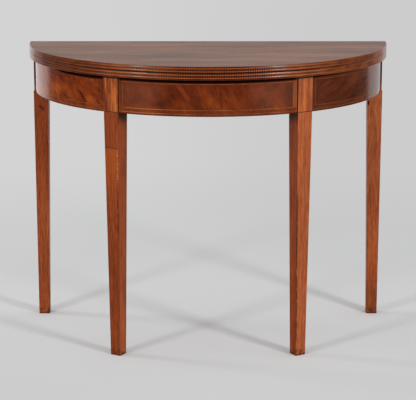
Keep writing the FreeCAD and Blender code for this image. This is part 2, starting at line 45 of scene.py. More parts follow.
class Tree:
    """A node tree whose nodes are added and linked by short calls."""

    def __init__(self, tree):
        self.nodes = tree.nodes
        self.links = tree.links

    def feed(self, socket, value):
        """Links a socket, or sets a plain value on it."""
        if isinstance(value, bpy.types.NodeSocket):
            self.links.new(value, socket)
        else:
            socket.default_value = value

    def add(self, kind, values=(), **settings):
        """A new node with its settings and the values or links of its inputs."""
        node = self.nodes.new("ShaderNode" + kind)
        for key, value in settings.items():
            setattr(node, key, value)
        for key, value in dict(values).items():
            self.feed(node.inputs[key], value)
        return node

    def math(self, operation, *values):
        return self.add("Math", enumerate(values), operation=operation).outputs[0]

    def chain(self, operation, first, *others):
        """Carries one operation through a row of values."""
        for other in others:
            first = self.math(operation, first, other)
        return first

    def plus(self, *values):
        return self.chain("ADD", *values)

    def times(self, *values):
        return self.chain("MULTIPLY", *values)

    def larger(self, *values):
        return self.chain("MAXIMUM", *values)

    def smaller(self, *values):
        return self.chain("MINIMUM", *values)

    def minus(self, first, second):
        return self.math("SUBTRACT", first, second)

    def over(self, first, second):
        return self.math("DIVIDE", first, second)

    def times_plus(self, first, second, added):
        return self.math("MULTIPLY_ADD", first, second, added)

    def size(self, value):
        return self.math("ABSOLUTE", value)

    def distance(self, sideways, upward):
        """Length of the way that goes so far sideways and so far upward."""
        return self.math("SQRT", self.plus(self.times(sideways, sideways), self.times(upward, upward)))

    def turned(self, sideways, upward, degrees):
        """The same place measured in directions that are turned from sideways towards upward."""
        cosine = math.cos(math.radians(degrees))
        sine = math.sin(math.radians(degrees))
        first = self.plus(self.times(sideways, cosine), self.times(upward, sine))
        second = self.minus(self.times(upward, cosine), self.times(sideways, sine))
        return first, second

    def parts(self, vector):
        """The three parts of a vector."""
        return self.add("SeparateXYZ", {"Vector": vector}).outputs

    def vector(self, first, second, third):
        return self.add("CombineXYZ", enumerate((first, second, third))).outputs[0]

    def rise(self, value, start, end, low=0.0, high=1.0):
        """Goes smoothly from low to high as the value goes from start to end."""
        values = {"Value": value, "From Min": start, "From Max": end, "To Min": low, "To Max": high}
        return self.add("MapRange", values, interpolation_type="SMOOTHSTEP").outputs[0]

    def fall(self, value, start, end, high=1.0):
        """Goes smoothly from high to 0 as the value goes from start to end."""
        return self.rise(value, start, end, high, 0.0)

    def within(self, value, low, high, soft):
        """1 between two values, with soft ends."""
        above = self.rise(value, low - soft, low + soft)
        below = self.fall(value, high - soft, high + soft)
        return self.times(above, below)

    def light_path(self, name):
        return self.add("LightPath").outputs[name]


class Finish(Tree):
    """A material on the principled shader."""

    def __init__(self, name):
        self.material = bpy.data.materials.new(name)
        self.material.use_nodes = True
        super().__init__(self.material.node_tree)
        self.shader = self.nodes["Principled BSDF"]

    def place(self):
        """The point's place in the part's own frame."""
        return self.add("TexCoord").outputs["Object"]

    def noise(self, vector, scale, detail=2.0, roughness=0.5, distortion=0.0):
        """Noise stretched by a scale along each axis; it varies about 0.5."""
        stretched = self.add("VectorMath", {0: vector, 1: scale}, operation="MULTIPLY").outputs[0]
        values = {
            "Vector": stretched,
            "Scale": 1.0,
            "Detail": detail,
            "Roughness": roughness,
            "Distortion": distortion,
        }
        return self.add("TexNoise", values).outputs[0]

    def sheet_noise(self, sheet, scales, detail=2.0):
        """Noise on a sheet, given by the length along it and the height, with a scale for each."""
        along, height = sheet
        return self.noise(self.vector(along, 0.0, height), (scales[0], 1.0, scales[1]), detail)

    def ramp(self, value, stops):
        """A colour from a list of (place, colour)."""
        node = self.add("ValToRGB", {0: value})
        points = node.color_ramp.elements
        while len(points) < len(stops):
            points.new(1.0)
        for point, (place, shade) in zip(points, stops):
            point.position = place
            point.color = shade
        return node.outputs[0]

    def mix(self, share, first, second):
        """A blend of two colours."""
        values = {MIX_SHARE: share, MIX_FIRST: first, MIX_SECOND: second}
        return self.add("Mix", values, data_type="RGBA").outputs[MIX_RESULT]

    def stain(self, shade, mark, *shares):
        """Blends a mark's colour in, at the mark's strength, where every share is 1."""
        colour, strength = mark
        return self.mix(self.times(strength, *shares), shade, colour)

    def sheen(self, tone, low, high):
        """A roughness that goes from high to low as the tone gets lighter."""
        return self.rise(tone, *SHEEN_TONES, high, low)

    def bump(self, height, depth, strength):
        values = {"Height": height, "Distance": depth, "Strength": strength}
        self.feed(self.shader.inputs["Normal"], self.add("Bump", values).outputs[0])

    def surface(self, shade, roughness, **others):
        """Feeds the shader: a colour, a roughness, and other values by socket name."""
        self.feed(self.shader.inputs["Base Color"], shade)
        self.feed(self.shader.inputs["Roughness"], roughness)
        for name, value in others.items():
            self.feed(self.shader.inputs[name.replace("_", " ")], value)
        return self.material


# Colours are written as screen values from 0 to 255, and the usual screen curve makes them linear

SCREEN_WHITE = 255
CURVE_START = 0.04045
CURVE_SLOPE = 12.92
CURVE_OFFSET = 0.055
CURVE_POWER = 2.4
RAMP_PLACES = {2: (0.35, 0.65), 3: (0.40, 0.50, 0.60)}


def linear(value):
    """A linear level from a screen value."""
    share = value / SCREEN_WHITE
    if share <= CURVE_START:
        return share / CURVE_SLOPE
    return ((share + CURVE_OFFSET) / (1 + CURVE_OFFSET)) ** CURVE_POWER


def screen(red, green, blue):
    """A linear colour from screen values."""
    return linear(red), linear(green), linear(blue), 1.0


def tones(*shades):
    """Ramp stops from dark to light, of two or three shades, for a tone that varies about 0.5."""
    return [(place, screen(*shade)) for place, shade in zip(RAMP_PLACES[len(shades)], shades)]


# Places on the table; a grain gives the place with the fibres along its third part


def upright_grain(finish):
    return finish.place()


def crosswise_grain(finish):
    x, y, z = finish.parts(finish.place())
    return finish.vector(y, z, x)


def arc_place(finish, radius):
    """Length along a circle about the middle of the back edge from the front, and height."""
    x, y, height = finish.parts(finish.place())
    angle = finish.math("ARCTAN2", x, finish.minus(BACK_EDGE, y))
    return finish.times(angle, radius), height


# Front legs: turn in degrees about the middle of the back edge, distance from it, half width and its growth
LEG_TURN = 31.0
LEG_MIDDLE = 0.426
LEG_FOOT_HALF = 0.0135
LEG_TAPER = 0.0108


def leg_place(finish, degrees):
    """Place across a front leg and outward, in half widths of the leg at that height, and the height."""
    x, y, height = finish.parts(finish.place())
    outward, across = finish.turned(finish.minus(BACK_EDGE, y), x, degrees)
    half = finish.times_plus(height, LEG_TAPER, LEG_FOOT_HALF)
    return finish.over(across, half), finish.over(finish.minus(outward, LEG_MIDDLE), half), height


# Forms of marks on a sheet: each is a share between 0 and 1

STREAK_FADE = 1 / 3


def soft_patch(finish, sheet, centre, reach, lean=0.0):
    """An oval that fades outwards; lean turns its first reach up from the horizontal, in degrees."""
    sideways = finish.minus(sheet[0], centre[0])
    upward = finish.minus(sheet[1], centre[1])
    first, second = finish.turned(sideways, upward, lean)
    first = finish.over(first, reach[0])
    second = finish.over(second, reach[1])
    return finish.fall(finish.plus(finish.times(first, first), finish.times(second, second)), 0.0, 1.0)


def bent_streak(finish, sheet, centre, radius, width):
    """A quarter of a ring that bends over to the right and down."""
    sideways = finish.minus(sheet[0], centre[0])
    upward = finish.minus(sheet[1], centre[1])
    off_ring = finish.size(finish.minus(finish.distance(sideways, upward), radius))
    quarter = [finish.rise(part, 0.0, radius * STREAK_FADE) for part in (sideways, upward)]
    return finish.times(finish.fall(off_ring, 0.0, width), *quarter)


# Woods: scales are across the grain twice and along it, shares are of broad tone, ribbon stripe and fibre

BROAD_SCALE = (14.0, 14.0, 3.0)
STRIPE_SCALE = (170.0, 170.0, 9.0)
FIBRE_SCALE = (620.0, 620.0, 45.0)
PORE_SCALE = (1500.0, 1500.0, 38.0)
WOOD_SHARES = (0.35, 0.4, 0.25)
PORE_LEVELS = (0.60, 0.70)
PORE_BROWN = (0.02, 0.006, 0.003, 1.0)
PORE_STRENGTH = 0.45
PORE_ROUGHNESS = 0.12
PORE_DROP = -0.6
PORE_DEPTH = 0.00015
PORE_BUMP = 0.5
PLAIN_SPECULAR = 0.5


def wood_tone(finish, grain, shares=WOOD_SHARES, stripes=STRIPE_SCALE):
    """A value about 0.5 that follows broad tone, ribbon stripe and fibre."""
    broad = finish.noise(grain, BROAD_SCALE)
    stripe = finish.noise(grain, stripes, detail=3.0, roughness=0.6)
    fibre = finish.noise(grain, FIBRE_SCALE, roughness=0.6)
    tone = finish.times(broad, shares[0])
    tone = finish.times_plus(stripe, shares[1], tone)
    return finish.times_plus(fibre, shares[2], tone)


def wood_pores(finish, grain, scale=PORE_SCALE):
    """1 in the pores of the wood."""
    return finish.rise(finish.noise(grain, scale, detail=1.0), *PORE_LEVELS)


def pore_shade(finish, shade, pores, strength=PORE_STRENGTH):
    """Darkens a colour in the pores."""
    return finish.stain(shade, (PORE_BROWN, strength), pores)


def polished(finish, shade, tone, pores, low, high, specular, **others):
    """Old polish over wood: the sheen varies with the grain and breaks at the pores."""
    roughness = finish.times_plus(pores, PORE_ROUGHNESS, finish.sheen(tone, low, high))
    finish.bump(finish.times_plus(pores, PORE_DROP, tone), PORE_DEPTH, PORE_BUMP)
    return finish.surface(shade, roughness, Specular_IOR_Level=specular, **others)


# Painted light on stretches of the leaf edge: a stretch is its two ends, measured from the front, and its
# softness

PAINTED_LIGHT_TONE = screen(176, 96, 46)
WARM_SHARE = 0.23
WARM_SHARE_UPPER = 0.19
WARM_SHARE_FAR = WARM_SHARE / 2
WARM_LEFT = (-0.275, -0.105, 0.06)
WARM_FAR_LEFT = (-0.46, -0.30, 0.03)
WARM_RIGHT = (0.12, 0.22)
WARM_TIPS = (0.46, 0.58)
WARM_SCALES = (30.0, 90.0)
WARM_LEVELS = (0.35, 0.65)
WARM_PATCHES = (0.5, 1.5)
LEAF_JOINT = (LEAF_LOW.z - 0.001, LEAF_LOW.z + 0.001)


def painted_edge_light(finish, along, height, shade):
    """Painted light on the curved edge, in patches: left of the front, and all along the right, the lower
    leaf more.
    """
    left = finish.times(finish.within(along, *WARM_LEFT), WARM_SHARE)
    far_left = finish.times(finish.within(along, *WARM_FAR_LEFT), WARM_SHARE_FAR)
    on_right = finish.rise(height, *LEAF_JOINT, WARM_SHARE, WARM_SHARE_UPPER)
    right = finish.rise(along, *WARM_RIGHT, 0.0, on_right)
    patches = finish.rise(finish.sheet_noise((along, height), WARM_SCALES), *WARM_LEVELS, *WARM_PATCHES)
    stretches = finish.times(finish.plus(left, far_left, right), patches)
    tips = finish.rise(finish.size(along), *WARM_TIPS, 0.0, WARM_SHARE)
    return finish.mix(finish.plus(stretches, tips), shade, PAINTED_LIGHT_TONE)


# Leaves: a mark is its colour and its strength

LEAF_TONES = tones((84, 39, 10), (118, 61, 19), (146, 83, 30))
RIM = (TOP_RADIUS - 0.0024, TOP_RADIUS - 0.0012)
EDGE_STAIN = (screen(62, 18, 5), 0.75)
EDGE_DIMS = (0.22, 0.38)
# Near black: painted shade and shadow, real dirt, cracks and holes, and the banding's dark dots
SHADE_AND_GRIME = screen(10, 4, 3)
JOINT_SHADE_HEIGHTS = (LEAF_LOW.z - 0.0004, LEAF_LOW.z + 0.0025, 0.0003)
JOINT_SHARES = (0.95, 0.4)
ARRIS = (LEAF_HIGH.z - 0.0018, LEAF_HIGH.z - 0.0009)
MATT_STRETCH = (0.45, 0.585, 0.035)
WORN_SPECULAR = 0.05
EDGE_ROUGHNESS = 0.16
FLAT_ROUGHNESS = 0.58
LEAF_ROUGHNESS_SPREAD = 0.1
BLOOM = {"Sheen_Weight": 0.16, "Sheen_Roughness": 0.4}


def curved_rim(finish):
    """1 on the curved edge of the leaves."""
    x, y, _ = finish.parts(finish.place())
    return finish.rise(finish.distance(x, finish.minus(BACK_EDGE, y)), *RIM)


def joint_shade_and_dirt(finish, along, height):
    """Painted shade and dirt in the joint between the leaves, less of it towards the ends."""
    clear = finish.rise(finish.size(along), *EDGE_DIMS, *JOINT_SHARES)
    return finish.times(finish.within(height, *JOINT_SHADE_HEIGHTS), clear)


def worn_polish(finish, along, height):
    """1 where the curved edge has lost its polish: along its upper arris and near its ends."""
    return finish.larger(finish.rise(height, *ARRIS), finish.within(finish.size(along), *MATT_STRETCH))


def mahogany_top():
    """Leaves: a dry polish on the flat faces, a darker and glossier curved edge with painted light on
    stretches of it, and painted shade with dirt in their joint.
    """
    finish = Finish("mahogany_top")
    grain = crosswise_grain(finish)
    tone = wood_tone(finish, grain)
    pores = wood_pores(finish, grain)
    shade = pore_shade(finish, finish.ramp(tone, LEAF_TONES), pores)
    along, height = arc_place(finish, TOP_RADIUS)
    rim = curved_rim(finish)
    # Painted light on stretches of the curved edge
    edge = painted_edge_light(finish, along, height, finish.stain(shade, EDGE_STAIN))
    # Painted shade, with some dirt, darkens the joint between the leaves
    joint = finish.times(rim, joint_shade_and_dirt(finish, along, height))
    shade = finish.mix(joint, finish.mix(rim, shade, edge), SHADE_AND_GRIME)
    dull = finish.larger(joint, finish.times(rim, worn_polish(finish, along, height)))
    specular = finish.times_plus(dull, WORN_SPECULAR - PLAIN_SPECULAR, PLAIN_SPECULAR)
    low = finish.times_plus(rim, EDGE_ROUGHNESS - FLAT_ROUGHNESS, FLAT_ROUGHNESS)
    high = finish.plus(low, LEAF_ROUGHNESS_SPREAD)
    return polished(finish, shade, tone, pores, low, high, specular, **BLOOM)


# Legs: places across a leg are shares of its half width

LEG_SHARES = (0.2, 0.42, 0.38)
LEG_STRIPES = (300.0, 300.0, 10.0)
LEG_TONES = tones((114, 45, 15), (143, 61, 22), (168, 81, 33))
PALER_TONES = tones((142, 66, 31), (172, 89, 46), (195, 108, 60))
LEG_ROUGHNESS = (0.34, 0.48)
LEG_SPECULAR = 0.2
LEG_REACH = (-1.2, 1.2, 0.1)
FRONT_FACE = (0.94, 0.97)
REAR_LEGS = (0.10, 0.11)
REAR_RIGHT = (0.34, 0.36)
REAR_LEFT = (-0.36, -0.34)
REAR_FADE = (0.2, 0.5)
REAR_RIGHT_PALE = (0.45, 0.95)
REAR_LEFT_PALE = 0.3
LOW_SIDE_FADE = (0.1, 0.4)
LOW_SIDE_PALE = (0.85, 0.2)
UNDER_APRON = (VENEER_LOW.z - 0.036, VENEER_LOW.z - 0.002)
APRON_SHADOW_MARK = (SHADE_AND_GRIME, 0.85)
DIRTY_EDGE = (-1.0, (0.04, 0.41))
DIRTY_EDGE_MARK = (SHADE_AND_GRIME, 0.7)


def mahogany_legs():
    """Legs with worn feet, some faces paler than others, the marks of use of each leg, and painted shade
    under the apron and on the rear posts.
    """
    finish = Finish("mahogany_legs")
    grain = upright_grain(finish)
    tone = wood_tone(finish, grain, LEG_SHARES, LEG_STRIPES)
    pores = wood_pores(finish, grain)
    left_front, left_sides = leg_faces(finish, -LEG_TURN)
    right_front, right_sides = leg_faces(finish, LEG_TURN)
    x, _, height = finish.parts(finish.place())
    pale = finish.plus(right_front, paler_side(finish, left_sides, height), paler_rear(finish, x, height))
    shade = finish.mix(pale, finish.ramp(tone, LEG_TONES), finish.ramp(tone, PALER_TONES))
    shade = pore_shade(finish, shade, pores)
    shade = left_leg_marks(finish, shade, left_front)
    shade = finish.stain(shade, DIRTY_EDGE_MARK, edge_line(finish, LEG_TURN, *DIRTY_EDGE))
    shade = rear_leg_marks(finish, shade)
    # Painted shadow of the apron on the sides of the front legs
    sides = finish.plus(left_sides, right_sides)
    shade = finish.stain(shade, APRON_SHADOW_MARK, sides, finish.rise(height, *UNDER_APRON))
    shade = worn_feet(finish, shade)
    return polished(finish, shade, tone, pores, *LEG_ROUGHNESS, LEG_SPECULAR)


def leg_faces(finish, degrees):
    """Two shares: 1 on the front face of one front leg, and 1 on its other faces."""
    across, outward, _ = leg_place(finish, degrees)
    leg = finish.times(finish.within(across, *LEG_REACH), finish.within(outward, *LEG_REACH))
    front = finish.times(leg, finish.rise(outward, *FRONT_FACE))
    return front, finish.minus(leg, front)


def paler_side(finish, sides, height):
    """How far the sides of a front leg are paler: more towards the foot."""
    return finish.times(sides, finish.rise(height, *LOW_SIDE_FADE, *LOW_SIDE_PALE))


def paler_rear(finish, x, height):
    """How far the rear legs are paler: the right one more towards its top, in part painted light, the left
    one at its foot.
    """
    right = finish.times(finish.rise(x, *REAR_RIGHT), finish.rise(height, *REAR_FADE, *REAR_RIGHT_PALE))
    left = finish.times(finish.fall(x, *REAR_LEFT), finish.fall(height, *REAR_FADE, REAR_LEFT_PALE))
    return finish.plus(right, left)


# Worn feet: heights between which the wear ends

FOOT_BROWN = screen(40, 20, 12)
FOOT_WEAR = (0.001, 0.006)
FOOT_WEAR_SHARE = 0.7
FOOT_SCUFFS = (0.004, 0.024)
SCUFF_SHARE = 0.75
SCUFF_SCALE = (110.0, 110.0, 110.0)
SCUFF_LEVELS = (0.46, 0.58)


def worn_feet(finish, shade):
    """Darkens the feet at the very end, and in scuffs a little higher."""
    place = finish.place()
    _, _, height = finish.parts(place)
    scuffs = finish.rise(finish.noise(place, SCUFF_SCALE, detail=3.0), *SCUFF_LEVELS)
    scuffs = finish.times(scuffs, finish.fall(height, *FOOT_SCUFFS, SCUFF_SHARE))
    worn = finish.larger(scuffs, finish.fall(height, *FOOT_WEAR, FOOT_WEAR_SHARE))
    return finish.mix(worn, shade, FOOT_BROWN)


# Broken lines along the edges of the front legs

LINE_HALF = 0.1
LINE_SOFT = 0.06
LINE_FRONT = (0.8, 0.9)
LINE_END_SOFT = 0.015
LINE_SCALES = (1.0, 40.0)
LINE_LEVELS = (0.36, 0.50)


def edge_line(finish, degrees, edge, heights):
    """A broken line along a front edge of one front leg, between two heights."""
    across, outward, height = leg_place(finish, degrees)
    near = finish.within(across, edge - LINE_HALF, edge + LINE_HALF, LINE_SOFT)
    broken = finish.rise(finish.sheet_noise((across, height), LINE_SCALES), *LINE_LEVELS)
    reach = finish.within(height, *heights, LINE_END_SOFT)
    return finish.times(near, finish.rise(outward, *LINE_FRONT), broken, reach)


# Marks on the left front leg

REPAIR = 0.517
LET_IN = (REPAIR, REPAIR + 0.001)
LET_IN_MARK = (screen(104, 44, 10), 0.12)
BELOW_REPAIR = (REPAIR - 0.001, REPAIR)
BELOW_REPAIR_FADE = (REPAIR - 0.13, REPAIR - 0.01)
BELOW_REPAIR_MARK = (screen(206, 104, 32), 0.2)
REPAIR_SEAM = (REPAIR - 0.001, REPAIR + 0.0015, 0.0012)
REPAIR_SEAM_MARK = (screen(50, 18, 6), 0.5)
CHIPPED_EDGE = (0.78, 0.98, 0.05)
CHIPPED_HEIGHTS = (0.44, 0.505, 0.01)
CHIP_SCALES = (2.0, 260.0)
CHIP_LEVELS = (0.50, 0.58)
CHIP_MARK = (screen(226, 150, 100), 0.8)
CRACK = (0.86, (0.31, 0.41))
CRACK_MARK = (SHADE_AND_GRIME, 0.75)


def left_leg_marks(finish, shade, face):
    """Left front leg: a darker piece let in above a seam, and warmer wood, chips and a crack below it."""
    across, _, height = leg_place(finish, -LEG_TURN)
    shade = finish.stain(shade, LET_IN_MARK, face, finish.rise(height, *LET_IN))
    below = finish.times(finish.fall(height, *BELOW_REPAIR), finish.rise(height, *BELOW_REPAIR_FADE))
    shade = finish.stain(shade, BELOW_REPAIR_MARK, face, below)
    shade = finish.stain(shade, REPAIR_SEAM_MARK, face, finish.within(height, *REPAIR_SEAM))
    edge = finish.times(finish.within(across, *CHIPPED_EDGE), finish.within(height, *CHIPPED_HEIGHTS))
    chips = finish.rise(finish.sheet_noise((across, height), CHIP_SCALES), *CHIP_LEVELS)
    shade = finish.stain(shade, CHIP_MARK, face, edge, chips)
    return finish.stain(shade, CRACK_MARK, edge_line(finish, -LEG_TURN, *CRACK))


# Marks on the rear legs: those on one face end a little behind the front of the leg

REAR_MARKS_END = (0.192, 0.197)
KNOT = ((-0.438, 0.546), 0.014, 0.006)
KNOT_MARK = (screen(46, 16, 6), 0.75)
HOLE = ((0.4105, 0.5675), (0.006, 0.009))
HOLE_LEVELS = (0.2, 0.5)
HOLE_MARK = (SHADE_AND_GRIME, 0.95)
TIP = 0.090
TIP_FADE = (TIP - 0.04, TIP + 0.06)
TIP_MARK = (screen(84, 32, 16), 0.32)
TIP_SEAM = (TIP - 0.0008, TIP + 0.0008, 0.0008)
TIP_SEAM_MARK = (SHADE_AND_GRIME, 0.4)
SHOULDER = (VENEER_LOW.z, VENEER_LOW.z + 0.02)
POST_SHADE_MARK = (screen(30, 10, 6), 0.72)


def rear_leg_marks(finish, shade):
    """Rear legs: a knot on the left one, a hole and a darker tip on the right one, and painted shade on the
    posts above the shoulders.
    """
    x, y, height = finish.parts(finish.place())
    face = (x, height)
    rear = finish.rise(y, *REAR_LEGS)
    near_front = finish.times(rear, finish.fall(y, *REAR_MARKS_END))
    shade = finish.stain(shade, KNOT_MARK, near_front, bent_streak(finish, face, *KNOT))
    hole = finish.rise(soft_patch(finish, face, *HOLE), *HOLE_LEVELS)
    shade = finish.stain(shade, HOLE_MARK, near_front, hole)
    right = finish.times(rear, finish.rise(x, *REAR_RIGHT))
    shade = finish.stain(shade, TIP_MARK, right, finish.fall(height, *TIP_FADE))
    shade = finish.stain(shade, TIP_SEAM_MARK, right, finish.within(height, *TIP_SEAM))
    # Painted shade on the posts above the shoulders, under the top
    return finish.stain(shade, POST_SHADE_MARK, rear, finish.rise(height, *SHOULDER))


# Dies over the front legs

DIE_SHARES = (0.15, 0.6, 0.25)
DIE_STRIPE_GAIN = 0.08
DIE_ROUGHNESS = (0.26, 0.42)
DIE_SPECULAR = 0.35
DIE_UNDER_TOP = (VENEER_HIGH.z - 0.0065, VENEER_HIGH.z - 0.0045)
DIE_TOP_SHADOW_MARK = (SHADE_AND_GRIME, 0.9)
DIES = {
    "left": {
        "turn": -LEG_TURN,
        "tones": tones((96, 34, 10), (138, 58, 20), (204, 108, 44)),
        "stripe": (0.3, 0.75, 0.1),
    },
    "right": {
        "turn": LEG_TURN,
        "tones": tones((146, 66, 28), (170, 85, 41), (196, 110, 56)),
        "stripe": (-0.2, 0.2, 0.1),
    },
}


def die_veneer(side):
    """Upright-grained veneer with a bright stripe in it, and a painted shadow under the top."""
    look = DIES[side]
    finish = Finish("die_veneer_" + side)
    grain = upright_grain(finish)
    pores = wood_pores(finish, grain)
    across, _, height = leg_place(finish, look["turn"])
    stripe = finish.within(across, *look["stripe"])
    tone = finish.times_plus(stripe, DIE_STRIPE_GAIN, wood_tone(finish, grain, DIE_SHARES))
    shade = pore_shade(finish, finish.ramp(tone, look["tones"]), pores)
    # Painted shadow of the top
    shade = finish.stain(shade, DIE_TOP_SHADOW_MARK, finish.rise(height, *DIE_UNDER_TOP))
    return polished(finish, shade, tone, pores, *DIE_ROUGHNESS, DIE_SPECULAR)


# Figured veneers: a place is a length along the apron, measured from the front, and a height

# A streak is its centre, radius and width, and a patch its centre, two reaches and lean in degrees
VENEERS = {
    "left": {
        "seed": 3.1,
        "lean": -38.0,
        "streakiness": 0.28,
        "tones": tones((70, 22, 4), (134, 54, 13), (170, 82, 26)),
        "streaks": [((-0.412, 0.598), 0.034, 0.0045), ((-0.356, 0.610), 0.035, 0.0045)],
        "dark_patches": [
            ((-0.268, 0.658), (0.016, 0.034), 0.0),
            ((-0.410, 0.672), (0.090, 0.026), 0.0),
            ((-0.410, 0.625), (0.030, 0.020), 0.0),
        ],
        "light_patches": [
            ((-0.440, 0.640), (0.030, 0.040), 0.0),
            ((-0.300, 0.625), (0.030, 0.010), -30.0),
        ],
        "painted_sheens": [],
        "pale_end": 0.0,
    },
    "centre": {
        "seed": 7.4,
        "lean": -62.0,
        "streakiness": 0.16,
        "tones": tones((62, 20, 5), (108, 41, 10), (144, 65, 22)),
        "streaks": [],
        "dark_patches": [
            ((0.031, 0.640), (0.004, 0.036), 4.0),
            ((-0.098, 0.650), (0.040, 0.034), 0.0),
            ((0.150, 0.668), (0.030, 0.010), 24.0),
            ((0.205, 0.664), (0.030, 0.014), 30.0),
            ((0.128, 0.636), (0.024, 0.012), 40.0),
            ((0.190, 0.655), (0.024, 0.036), 0.0),
            ((0.196, 0.645), (0.016, 0.040), 0.0),
            ((-0.170, 0.640), (0.020, 0.012), 30.0),
        ],
        "light_patches": [
            ((-0.060, 0.662), (0.036, 0.008), -52.0),
            ((-0.010, 0.650), (0.040, 0.022), -50.0),
            ((-0.160, 0.611), (0.070, 0.024), 0.0),
        ],
        "painted_sheens": [((0.160, 0.655), (0.080, 0.060), 0.0), ((-0.165, 0.655), (0.070, 0.055), 0.0)],
        "pale_end": 0.6,
    },
    "right": {
        "seed": 11.6,
        "lean": 24.0,
        "streakiness": 0.22,
        "tones": tones((60, 24, 11), (86, 37, 17), (110, 53, 25)),
        "streaks": [],
        "dark_patches": [((0.425, 0.630), (0.050, 0.024), 20.0)],
        "light_patches": [
            ((0.308, 0.667), (0.026, 0.006), 20.0),
            ((0.345, 0.655), (0.030, 0.005), 24.0),
            ((0.400, 0.662), (0.050, 0.018), 20.0),
            ((0.510, 0.645), (0.050, 0.070), 0.0),
        ],
        "painted_sheens": [],
        "pale_end": 0.0,
    },
}
SWIRL_SCALE = (12.0, 1.0, 20.0)
SWIRL_SHARE = 0.26
FIGURE_SCALE = (30.0, 1.0, 120.0)
VENEER_FIBRE_SCALE = (90.0, 1.0, 620.0)
VENEER_FIBRE_SHARE = 0.12
VENEER_BASE = 0.31
VENEER_PORE_SCALE = (90.0, 1.0, 1500.0)
VENEER_PORE_STRENGTH = 0.3
VENEER_ROUGHNESS = (0.10, 0.17)
STREAK_GAIN = -0.10
DARK_GAIN = -0.05
LIGHT_GAIN = 0.06
# Painted sheen of the lamps in the polish, on patches of the front bay
PAINTED_SHEEN_MARK = (screen(150, 86, 60), 0.3)


def bay_ends(side):
    """Lengths along the apron of the two ends of a bay, from the box of its veneer."""
    low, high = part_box("apron_veneer_" + side)
    if side == "centre":
        end = math.asin(high.x / APRON_RADIUS) * APRON_RADIUS
        return -end, end
    ends = [math.acos(min(1.0, (BACK_EDGE - y) / APRON_RADIUS)) * APRON_RADIUS for y in (low.y, high.y)]
    return ends if side == "right" else (-ends[1], -ends[0])


def veneer_tone(finish, sheet, grain, look):
    """A tone about 0.5 that follows swirl, figure and fibre, with the streaks and patches of one bay."""
    swirl = finish.noise(grain, SWIRL_SCALE, distortion=0.6)
    figure = finish.noise(grain, FIGURE_SCALE, detail=4.0, roughness=0.65, distortion=0.8)
    fibre = finish.noise(grain, VENEER_FIBRE_SCALE, roughness=0.6)
    marks = [(figure, look["streakiness"]), (fibre, VENEER_FIBRE_SHARE)]
    marks += [(bent_streak(finish, sheet, *streak), STREAK_GAIN) for streak in look["streaks"]]
    marks += [(soft_patch(finish, sheet, *patch), DARK_GAIN) for patch in look["dark_patches"]]
    marks += [(soft_patch(finish, sheet, *patch), LIGHT_GAIN) for patch in look["light_patches"]]
    tone = finish.times_plus(swirl, SWIRL_SHARE, VENEER_BASE - look["streakiness"] / 2)
    for mark, gain in marks:
        tone = finish.times_plus(mark, gain, tone)
    return tone


def figured_veneer(side):
    """Figured veneer of one bay, with a cross-grained border between the inlaid lines."""
    look = VENEERS[side]
    finish = Finish("figured_veneer_" + side)
    sheet = arc_place(finish, APRON_RADIUS)
    ends = bay_ends(side)
    with_grain, over_grain = finish.turned(*sheet, look["lean"])
    grain = finish.vector(with_grain, look["seed"], over_grain)
    tone = veneer_tone(finish, sheet, grain, look)
    pores = wood_pores(finish, grain, VENEER_PORE_SCALE)
    shade = finish.ramp(tone, look["tones"])
    # Painted sheen of the lamps in the polish
    for patch in look["painted_sheens"]:
        shade = finish.stain(shade, PAINTED_SHEEN_MARK, soft_patch(finish, sheet, *patch))
    shade = crossbanded(finish, sheet, ends, shade, look["pale_end"])
    shade = pore_shade(finish, shade, pores, VENEER_PORE_STRENGTH)
    # Painted shade at the bay's ends and a painted shadow under the top, with a darker lower edge
    bay_darkening = darkened_places(finish, sheet, ends)
    shade = finish.mix(bay_darkening, shade, SHADE_AND_GRIME)
    specular = finish.times_plus(bay_darkening, -PLAIN_SPECULAR, PLAIN_SPECULAR)
    return polished(finish, shade, tone, pores, *VENEER_ROUGHNESS, specular)


def to_nearer_end(finish, along, ends):
    """Distance along the apron to the nearer end of a bay."""
    return finish.smaller(finish.minus(along, ends[0]), finish.minus(ends[1], along))


# Border of a bay

BORDER = 0.0112
BORDER_BOTTOM = VENEER_LOW.z + 0.0030
BORDER_TOP = VENEER_HIGH.z + 0.0008
BORDER_EDGE = (BORDER - 0.0006, BORDER + 0.0006)
BORDER_SHARE = 0.25
BORDER_SCALES = (420.0, 420.0)
BORDER_TONES = tones((96, 40, 14), (120, 54, 22), (142, 70, 32))
PALE_END_TONE = screen(158, 88, 48)
PALE_END_GAP = 0.002
PALE_END_SOFT = 0.0005
PALE_END_FOOT = (BORDER - 0.002, BORDER + 0.002)


def crossbanded(finish, sheet, ends, shade, pale_end):
    """Warms the border of a bay, with its grain across it; its right-hand end may be paler."""
    along, height = sheet
    to_bottom = finish.minus(height, BORDER_BOTTOM)
    to_top = finish.minus(BORDER_TOP, height)
    nearest = finish.smaller(to_nearer_end(finish, along, ends), to_bottom, to_top)
    warm = finish.ramp(finish.sheet_noise(sheet, BORDER_SCALES), BORDER_TONES)
    shade = finish.mix(finish.fall(nearest, *BORDER_EDGE, BORDER_SHARE), shade, warm)
    strip = finish.within(along, ends[1] - BORDER, ends[1] - PALE_END_GAP, PALE_END_SOFT)
    return finish.stain(shade, (PALE_END_TONE, pale_end), strip, finish.rise(to_bottom, *PALE_END_FOOT))


# Veneers: painted shade at the ends of a bay, a painted shadow under the top and a darker lower edge; two
# places between which each ends, and its strength

END_SHADE = (0.0004, 0.0016, 0.9)
LOWER_DARKENING = (VENEER_LOW.z + 0.0004, VENEER_LOW.z + 0.0022, 0.7)
TOP_SHADOW_EDGE = (-0.0018, 0.0018, 0.95)
UPPER_LENGTHS = (0.10, 0.52)
UPPER_DEPTHS = (0.0090, 0.0025)
DEEPER_STRETCH = (-0.43, -0.27, 0.04)
DEEPER_BY = 0.006


